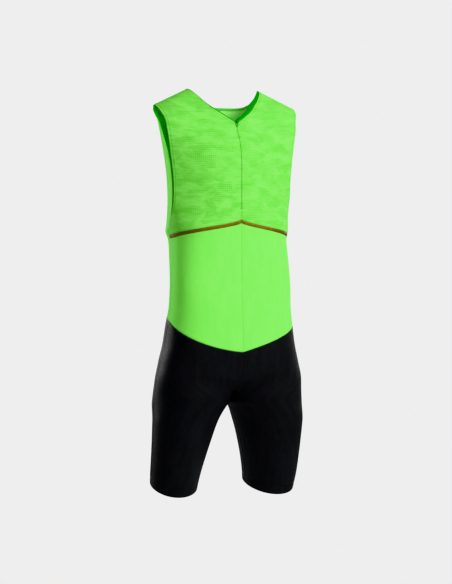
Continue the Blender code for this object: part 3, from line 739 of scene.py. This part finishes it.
def woven(name, dark, light, roughness=0.7, pitch=0.0009):
    """Twill tape or thread: fine slanted ribs."""
    made, tree, shader = start_material(name, roughness, sheen=0.1)
    place = wire(tree, "ShaderNodeTexCoord").outputs["Object"]
    split = wire(tree, "ShaderNodeSeparateXYZ", i0=place)
    slant = maths(tree, "ADD", split.outputs[0], split.outputs[2])
    rib = maths(tree, "SINE", maths(tree, "MULTIPLY", slant, 2.0 * math.pi / pitch))
    cloud = noise(tree, place, 220.0, 3.0)
    colour = blend_colour(tree, maths(tree, "MULTIPLY_ADD", rib, 0.25, cloud), dark, light)
    tree.links.new(colour, shader.inputs["Base Color"])
    bump = wire(tree, "ShaderNodeBump", Height=rib, Strength=0.3, Distance=0.0002)
    tree.links.new(bump.outputs[0], shader.inputs["Normal"])
    return made


def painted_metal(name, base):
    made, tree, shader = start_material(name, 0.50, specular=0.1)
    place = wire(tree, "ShaderNodeTexCoord").outputs["Object"]
    speck = noise(tree, place, 900.0, 4.0)
    dark = tuple(0.7 * c for c in base)
    tree.links.new(blend_colour(tree, speck, dark, base), shader.inputs["Base Color"])
    tree.links.new(maths(tree, "MULTIPLY_ADD", speck, 0.25, 0.34), shader.inputs["Roughness"])
    bump = wire(tree, "ShaderNodeBump", Height=speck, Strength=0.15, Distance=0.0001)
    tree.links.new(bump.outputs[0], shader.inputs["Normal"])
    return made


MESH_LIGHT = (0.234, 0.760, 0.128)
MESH_DARK = (0.172, 0.655, 0.088)
MESH_PORE = (0.060, 0.430, 0.028)
PLAIN_LIGHT = (0.240, 0.830, 0.132)
PLAIN_DARK = (0.212, 0.800, 0.114)
# Inside the back, by the armholes and by the neck. They stand in for light that the lamps don't
# bring there, and aren't colours of the cloth.
ARM_INSIDE_PAINTED_BOUNCE = (0.016, 0.860, 0.025)
NECK_INSIDE_PAINTED_LIGHT = (0.340, 0.960, 0.220)
FOIL_DARK = (0.105, 0.074, 0.0035)
FOIL_LIGHT = (0.180, 0.120, 0.011)
BLACK_DARK = (0.0098, 0.0099, 0.0106)
BLACK_LIGHT = (0.0158, 0.0160, 0.0172)

YOKE = mesh_knit("yoke_knit", hems=(EDGE_STITCH,))
PLAIN = plain_knit(
    "body_knit", PLAIN_DARK, PLAIN_LIGHT, hems=(EDGE_STITCH,),
    inside=(("deep", ARM_INSIDE_PAINTED_BOUNCE), ("pale", NECK_INSIDE_PAINTED_LIGHT)),
)
BLACK = plain_knit(
    "short_knit", BLACK_DARK, BLACK_LIGHT, 0.55, 0.12, hems=HEM_STITCHES, groove=BLACK_SEAM_PAINTED_SHADE
)
FOIL = foil_tape("tape_foil")
TRIM = woven("trim_twill", (0.06, 0.50, 0.03), (0.10, 0.62, 0.06))
ZIP_CLOTH = woven("zip_twill", (0.05, 0.40, 0.03), (0.08, 0.52, 0.05), pitch=0.0007)
GREEN_THREAD = woven("green_thread", (0.12, 0.66, 0.06), (0.18, 0.78, 0.09), pitch=0.0005)
BLACK_THREAD = woven("black_thread", (0.004, 0.004, 0.006), (0.012, 0.012, 0.016), pitch=0.0005)
# The neck facings are cloth bands, but their dark saturated green is painted shade, darker than the
# knit's own colour.
FACING_PAINTED_SHADE = plain_knit("facing_knit_painted_shade", (0.008, 0.400, 0.010), (0.013, 0.470, 0.014))
TACK_THREAD = woven("tack_thread", (0.05, 0.42, 0.03), (0.09, 0.55, 0.05), pitch=0.0005)
METAL = painted_metal("zip_paint", (0.02, 0.42, 0.025))
TEETH = painted_metal("zip_nylon", (0.05, 0.46, 0.05))


# Pieces

# Creases of the left half and, mirrored, of the right one, in metres: start, end, width,
# height and how far the middle bends away from a straight line.
YOKE_CREASES = {
    "left": (
        ((0.020, -0.118, -0.150), (0.075, -0.105, -0.170), 0.012, -0.0009, (0.0, 0.0, -0.006)),
        ((0.120, -0.080, -0.245), (0.060, -0.112, -0.275), 0.014, -0.0010, (0.0, 0.0, 0.006)),
        ((0.060, -0.075, -0.060), (0.120, -0.070, -0.085), 0.014, -0.0008, (0.0, 0.0, 0.004)),
        ((0.012, -0.124, -0.215), (0.050, -0.120, -0.228), 0.010, -0.0006, (0.0, 0.0, -0.003)),
    ),
    "right": (
        ((0.016, -0.118, -0.165), (0.070, -0.108, -0.150), 0.012, -0.0008, (0.0, 0.0, 0.005)),
        ((0.130, -0.075, -0.225), (0.070, -0.110, -0.262), 0.015, -0.0011, (0.0, 0.0, 0.006)),
        ((0.070, -0.078, -0.070), (0.130, -0.070, -0.100), 0.014, -0.0008, (0.0, 0.0, 0.004)),
        ((0.012, -0.124, -0.250), (0.055, -0.119, -0.244), 0.010, -0.0007, (0.0, 0.0, 0.003)),
    ),
}
LOWER_CREASES = {
    "left": (
        ((0.135, -0.060, -0.470), (0.070, -0.118, -0.500), 0.016, -0.0010, (0.0, 0.0, -0.006)),
        ((0.138, -0.055, -0.520), (0.085, -0.115, -0.535), 0.014, -0.0008, (0.0, 0.0, 0.005)),
    ),
    "right": (
        ((0.138, -0.055, -0.455), (0.080, -0.115, -0.480), 0.016, -0.0011, (0.0, 0.0, -0.006)),
        ((0.120, -0.085, -0.400), (0.050, -0.122, -0.415), 0.016, -0.0007, (0.0, 0.0, 0.005)),
    ),
}
BACK_CREASES = (
    ((-0.110, 0.020, -0.470), (-0.020, 0.030, -0.500), 0.018, -0.0014, (0.0, 0.0, 0.008)),
    ((0.115, 0.015, -0.455), (0.025, 0.030, -0.478), 0.018, -0.0013, (0.0, 0.0, -0.008)),
    ((-0.100, 0.018, -0.510), (0.040, 0.033, -0.528), 0.016, -0.0010, (0.0, 0.0, -0.006)),
    ((-0.030, 0.050, -0.190), (-0.110, 0.020, -0.150), 0.020, -0.0012, (0.0, 0.0, 0.006)),
    ((0.035, 0.052, -0.205), (0.112, 0.020, -0.165), 0.020, -0.0011, (0.0, 0.0, 0.006)),
)
LEG_CREASES = {
    ("front", "left"): (
        ((0.010, -0.070, -0.738), (0.075, -0.112, -0.770), 0.010, -0.0022, (0.0, 0.0, -0.004)),
        ((0.006, -0.105, -0.700), (0.050, -0.124, -0.728), 0.012, -0.0012, (0.0, 0.0, -0.004)),
    ),
    ("front", "right"): (
        ((0.010, -0.070, -0.740), (0.070, -0.112, -0.762), 0.011, -0.0020, (0.0, 0.0, -0.004)),
        ((0.006, -0.110, -0.690), (0.060, -0.126, -0.712), 0.014, -0.0012, (0.0, 0.0, -0.004)),
    ),
    ("back", "left"): (
        ((0.015, 0.010, -0.745), (0.110, 0.050, -0.775), 0.014, -0.0022, (0.0, 0.0, -0.008)),
        ((0.020, 0.020, -0.770), (0.090, 0.048, -0.800), 0.014, -0.0014, (0.0, 0.0, -0.006)),
    ),
    ("back", "right"): (
        ((0.015, 0.010, -0.748), (0.105, 0.050, -0.770), 0.014, -0.0022, (0.0, 0.0, -0.008)),
        ((0.020, 0.022, -0.775), (0.095, 0.048, -0.806), 0.015, -0.0015, (0.0, 0.0, -0.006)),
    ),
}


def creased(grid, creases):
    return sum((crease(grid, *c) for c in creases), np.zeros(grid.shape[:2]))


def both_sides(grid_of):
    """The left grid, and the right one mirrored, each with its side's name."""
    return (("left", grid_of("left")), ("right", mirrored(grid_of("right"))))


def outward_of(grid, middle):
    """+1 where the grid's own winding faces away from the middle, and -1 where it doesn't."""
    own = normals_of(grid, 1.0)
    away = ((grid - np.array(middle)) * own).sum(-1)
    return 1.0 if np.median(away) > 0.0 else -1.0


def build_yokes():
    grid, v_row = yoke_grid()
    lines = []
    for side, part in both_sides(lambda side: grid):
        seams = [part[0], part[: v_row + 1, 0], part[-1]]
        armhole = part[UNDERARM_ROW:, -1]
        hems = [part[v_row:, 0], armhole]
        outward = outward_of(part, (0.0, -0.035, -0.2))
        raised = creased(grid, YOKE_CREASES[side])
        item, outer, normal = shell(f"yoke_{side}", part, outward, YOKE, seams, hems, raised=raised)
        ride(item, "mesh_knit", f"front_yoke_{side}")
        to_neck = distance(part, part[v_row:, 0])
        to_arm = distance(part, part[:, -1])
        low = v_row - STITCH_LEAD
        lines.append(inset(outer[low:], normal[low:], to_neck[low:], EDGE_STITCH, 1))
        lines.append(inset(outer, normal, to_arm, EDGE_STITCH, 1))
        area = panel_area(part)
    stitch = stitches("yoke_stitches", lines, GREEN_THREAD)
    ride(stitch, "mesh_knit")
    return grid, v_row


def panel_area(grid):
    across = grid[1:, 1:] - grid[:-1, :-1]
    down = grid[1:, :-1] - grid[:-1, 1:]
    return float(np.linalg.norm(np.cross(across, down), axis=-1).sum() / 2.0)


def build_chest_tape():
    half = CHEST_TAPE / 2.0
    grid = band_grid(
        "front", lambda t: chest_seam_z(t) - half, lambda t: chest_seam_z(t) + half, 96, 6
    )
    for side, part in both_sides(lambda side: grid):
        outward = outward_of(part, (0.0, -0.035, -0.33))
        crown = 0.0003 * np.sin(math.pi * np.linspace(0.0, 1.0, part.shape[0]))[:, None]
        item, _, _ = shell(
            f"tape_{side}", part, outward, FOIL, [part[:, 0]], raised=crown * np.ones(part.shape[1])
        )
        ride(item, "bronze_foil", f"chest_tape_{side}")
        panel_area(part)


def build_lower_fronts():
    half = CHEST_TAPE / 2.0

    def grid_of(side):
        return band_grid(
            "front",
            lambda t: waist_seam_z("front", t, side) + SEAM / 2.0,
            lambda t: chest_seam_z(t) - half - SEAM,
            72,
            124,
        )

    for side, part in both_sides(grid_of):
        seams = [part[0], part[-1], part[:, 0], part[:, -1]]
        outward = outward_of(part, (0.0, -0.035, -0.48))
        raised = creased(grid_of(side), LOWER_CREASES[side])
        item, _, _ = shell(f"lower_{side}", part, outward, PLAIN, seams, raised=raised)
        ride(item, "plain_knit", f"lower_front_{side}")
        panel_area(part)


def build_back():
    grid = back_grid()
    middle = grid.shape[1] // 2
    neck = middle // 2
    under = int(np.argmin(np.abs(grid[:, -1, 2] - UNDERARM_Z)))
    top = grid[-1]
    sides = [grid[: under + 1, 0], grid[: under + 1, -1]]
    seams = [grid[0], *sides, top[: neck + 1], top[-neck - 1 :]]
    hems = [top[neck : 2 * middle - neck + 1], grid[under:, 0], grid[under:, -1]]
    outward = outward_of(grid, (0.0, -0.05, -0.3))
    raised = creased(grid, BACK_CREASES)
    to_arm = np.minimum(distance(grid, hems[1]), distance(grid, hems[2]))
    # Painted light on the back's inner face: deep is the saturated green of bounce light in the
    # shade by the armholes, pale is brighter light by the neck.
    deep = smooth((ARM_DEPTH - to_arm) / ARM_FADE)
    pale = (1.0 - deep) * smooth((NECK_DEPTH - distance(grid, hems[0])) / ARM_FADE)
    item, outer, normal = shell(
        "back_panel", grid, outward, PLAIN, seams, hems,
        raised=raised, inside={"deep": deep, "pale": pale},
    )
    ride(item, "plain_knit", "back")
    lines = [inset(outer, normal, distance(grid, hems[0]), EDGE_STITCH, 0)]
    ends = (slice(0, ARM_COLUMNS), slice(-ARM_COLUMNS, None))
    for path, columns in zip(hems[1:], ends):
        part, ups = outer[under:, columns], normal[under:, columns]
        lines.append(inset(part, ups, distance(grid[under:, columns], path), EDGE_STITCH, 1))
    ride(stitches("back_stitches", lines, GREEN_THREAD), "plain_knit")


def build_shorts():
    lines = []
    for face in ("front", "back"):
        for side, part in both_sides(lambda side: leg_grid(face, side)):
            sign = 1.0 if side == "left" else -1.0
            seams = [part[-1], part[LEG_ROWS:, 0], part[: LEG_ROWS + 1, 0], part[:, -1]]
            hems = [part[0]]
            middle = (sign * THIGH_X, leg_middle(np.array(THIGH_Z)), THIGH_Z)
            outward = outward_of(part[:LEG_CLEAR_ROWS], middle)
            raised = creased(leg_grid(face, side), LEG_CREASES[face, side])
            item, outer, normal = shell(
                f"short_{face}_{side}", part, outward, BLACK, seams, hems, raised=raised
            )
            ride(item, "black_knit", f"{face}_leg_{side}")
            panel_area(part)
            to_hem = distance(part, part[0])
            for gap in HEM_STITCHES:
                lines.append(inset(outer[:HEM_ROWS], normal[:HEM_ROWS], to_hem[:HEM_ROWS], gap, 0))
    ride(stitches("hem_stitches", lines, BLACK_THREAD, 0.0032, 0.0024), "black_knit")


def build_neck_facings(grid, v_row):
    """The band turned in along each front neck edge, deepest by the V and thin at the top; its dark
    green is painted shade.
    """
    path = grid[v_row:, 0]
    path = path[path[:, 0] > FACING_START]
    fine = dense(path, 0.0016)
    share = np.linspace(0.0, 1.0, len(fine))
    width = np.interp(share, FACING_SHARES, FACING_WIDTHS)
    turn = unit(np.array([FACING_TURN]))[0]
    start = fine + np.array([0.0, FACING_BEHIND, 0.0])
    start[:, 2] += FACING_PEEK * (1.0 - share**2)
    steps = np.linspace(0.0, 1.0, 9)[:, None, None]
    bow = np.sin(math.pi * steps) * width[None, :, None] * np.array(FACING_BOW)
    band = start[None] + steps * width[None, :, None] * turn + bow
    band = np.concatenate([(fine + np.array(FACING_ROOT))[None], band])
    band[..., 0] = np.maximum(band[..., 0], FACING_CLEAR)
    for side, part in both_sides(lambda side: band):
        outward = outward_of(part, (0.25 if side == "left" else -0.25, 0.05, -0.05))
        item, _, _ = shell(f"neck_facing_{side}", part, outward, FACING_PAINTED_SHADE, thick=0.0007)
        ride(item, "trim_tape")
        panel_area(part)


def build_zip_teeth():
    """Interlocked teeth behind the closed fronts, and the bar tack that ends the zip."""
    points, faces = [], []
    heights = np.arange(TEETH_TOP, TEETH_END, -TEETH_PITCH)
    fronts = on_form("front", np.ones_like(heights), heights)
    for k, (middle, z) in enumerate(zip(fronts, heights)):
        shift = TEETH_SHIFT if k % 2 else -TEETH_SHIFT
        centre = np.array([shift, middle[1] + TEETH_BEHIND, z])
        base = len(points)
        for x, y, up in ((a, b, c) for a in (-1, 1) for b in (-1, 1) for c in (-1, 1)):
            taper = TOOTH_TAPER if y > 0 else 1.0
            corner = [x * TOOTH[0] * taper, y * TOOTH[1], up * TOOTH[2] * taper]
            points.append(centre + np.array(corner))
        faces += [tuple(base + n for n in f) for f in BOX_FACES]
    ride(add_mesh("zip_teeth", points, faces, TEETH, sharp=30.0), "zip_metal")
    lines = []
    for x in np.linspace(-TACK_HALF, TACK_HALF, TACK_STITCHES):
        z = np.array([TEETH_END - 0.0011, TEETH_END + 0.0011])
        y = on_form("front", np.ones(2), z)[:, 1] - 0.0002
        lines.append((np.stack([np.full(2, x), y, z], -1), np.array([[0.0, -1.0, 0.0]] * 2)))
    bar = stitches("zip_bar_tack", lines, TACK_THREAD, 0.0010, 0.0019, 0.0005, 0.0004)
    ride(bar, "mesh_knit")


def build_studio():
    """A pale floor below the picture, a pale surround, and soft lights."""
    world = bpy.data.worlds.new("studio")
    bpy.context.scene.world = world
    world.use_nodes = True
    tree = world.node_tree
    tree.nodes.clear()
    seen = wire(tree, "ShaderNodeBackground", Color=(0.98, 0.98, 0.98, 1.0), Strength=1.0)
    dim = wire(tree, "ShaderNodeBackground", Color=(1.0, 1.0, 1.0, 1.0), Strength=AMBIENT)
    path = wire(tree, "ShaderNodeLightPath")
    both = wire(
        tree, "ShaderNodeMixShader",
        i0=path.outputs["Is Camera Ray"], i1=dim.outputs[0], i2=seen.outputs[0],
    )
    wire(tree, "ShaderNodeOutputWorld", Surface=both.outputs[0])
    mesh = bpy.data.meshes.new("floor")
    around = np.linspace(0, 2 * math.pi, 97)[:-1]
    ring = [(FLOOR_RADIUS * math.cos(a), FLOOR_RADIUS * math.sin(a), FLOOR_Z) for a in around]
    mesh.from_pydata(ring, [], [tuple(range(len(ring)))])
    floor = bpy.data.objects.new("floor", mesh)
    material, tree, shader = start_material("floor_paper", 0.9, specular=0.1)
    place = wire(tree, "ShaderNodeTexCoord").outputs["Object"]
    shade = blend_colour(tree, noise(tree, place, 3.0), (0.80, 0.80, 0.80), (0.84, 0.84, 0.84))
    tree.links.new(shade, shader.inputs["Base Color"])
    mesh.materials.append(material)
    bpy.context.scene.collection.objects.link(floor)
    for name, azimuth, height, far, size, power in LIGHTS:
        light = bpy.data.lights.new(name, "AREA")
        light.shape, light.size, light.energy = "SQUARE", size, power
        item = bpy.data.objects.new(name, light)
        a = math.radians(azimuth)
        item.location = (far * math.sin(a), -far * math.cos(a), height)
        aim = Vector(AIM) - item.location
        item.rotation_euler = aim.to_track_quat("-Z", "Y").to_euler()
        item.visible_camera = False
        bpy.context.scene.collection.objects.link(item)


def build_camera():
    camera = bpy.data.cameras.new("camera")
    camera.sensor_width = SENSOR
    camera.lens = SENSOR * CAMERA_FAR / (PHOTO_HEIGHT * PIXEL)
    item = bpy.data.objects.new("camera", camera)
    a = math.radians(CAMERA_AZIMUTH)
    back = Vector((math.sin(a), -math.cos(a), 0.0))
    right = Vector((math.cos(a), math.sin(a), 0.0))
    item.location = back * CAMERA_FAR + right * (PHOTO_WIDTH / 2 - AXIS_COLUMN) * PIXEL
    item.location.z = -(PHOTO_HEIGHT / 2 - NECK_ROW) * PIXEL
    item.rotation_euler = (-back).to_track_quat("-Z", "Y").to_euler()
    bpy.context.scene.collection.objects.link(item)
    bpy.context.scene.camera = item


build_camera()
build_studio()
YOKE_GRID, V_ROW = build_yokes()
build_neck_facings(YOKE_GRID, V_ROW)
build_zip_teeth()
build_chest_tape()
build_lower_fronts()
build_back()
build_shorts()
bpy.context.scene.view_settings.view_transform = "Khronos PBR Neutral"
CARRIED_OVER = {
    "zip_slider": METAL,
    "zip_pull": METAL,
    "neck_tape": TRIM,
    "zip_tape_left": ZIP_CLOTH,
    "zip_tape_right": ZIP_CLOTH,
}
for node, material in CARRIED_OVER.items():
    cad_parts[node].data.materials.clear()
    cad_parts[node].data.materials.append(material)
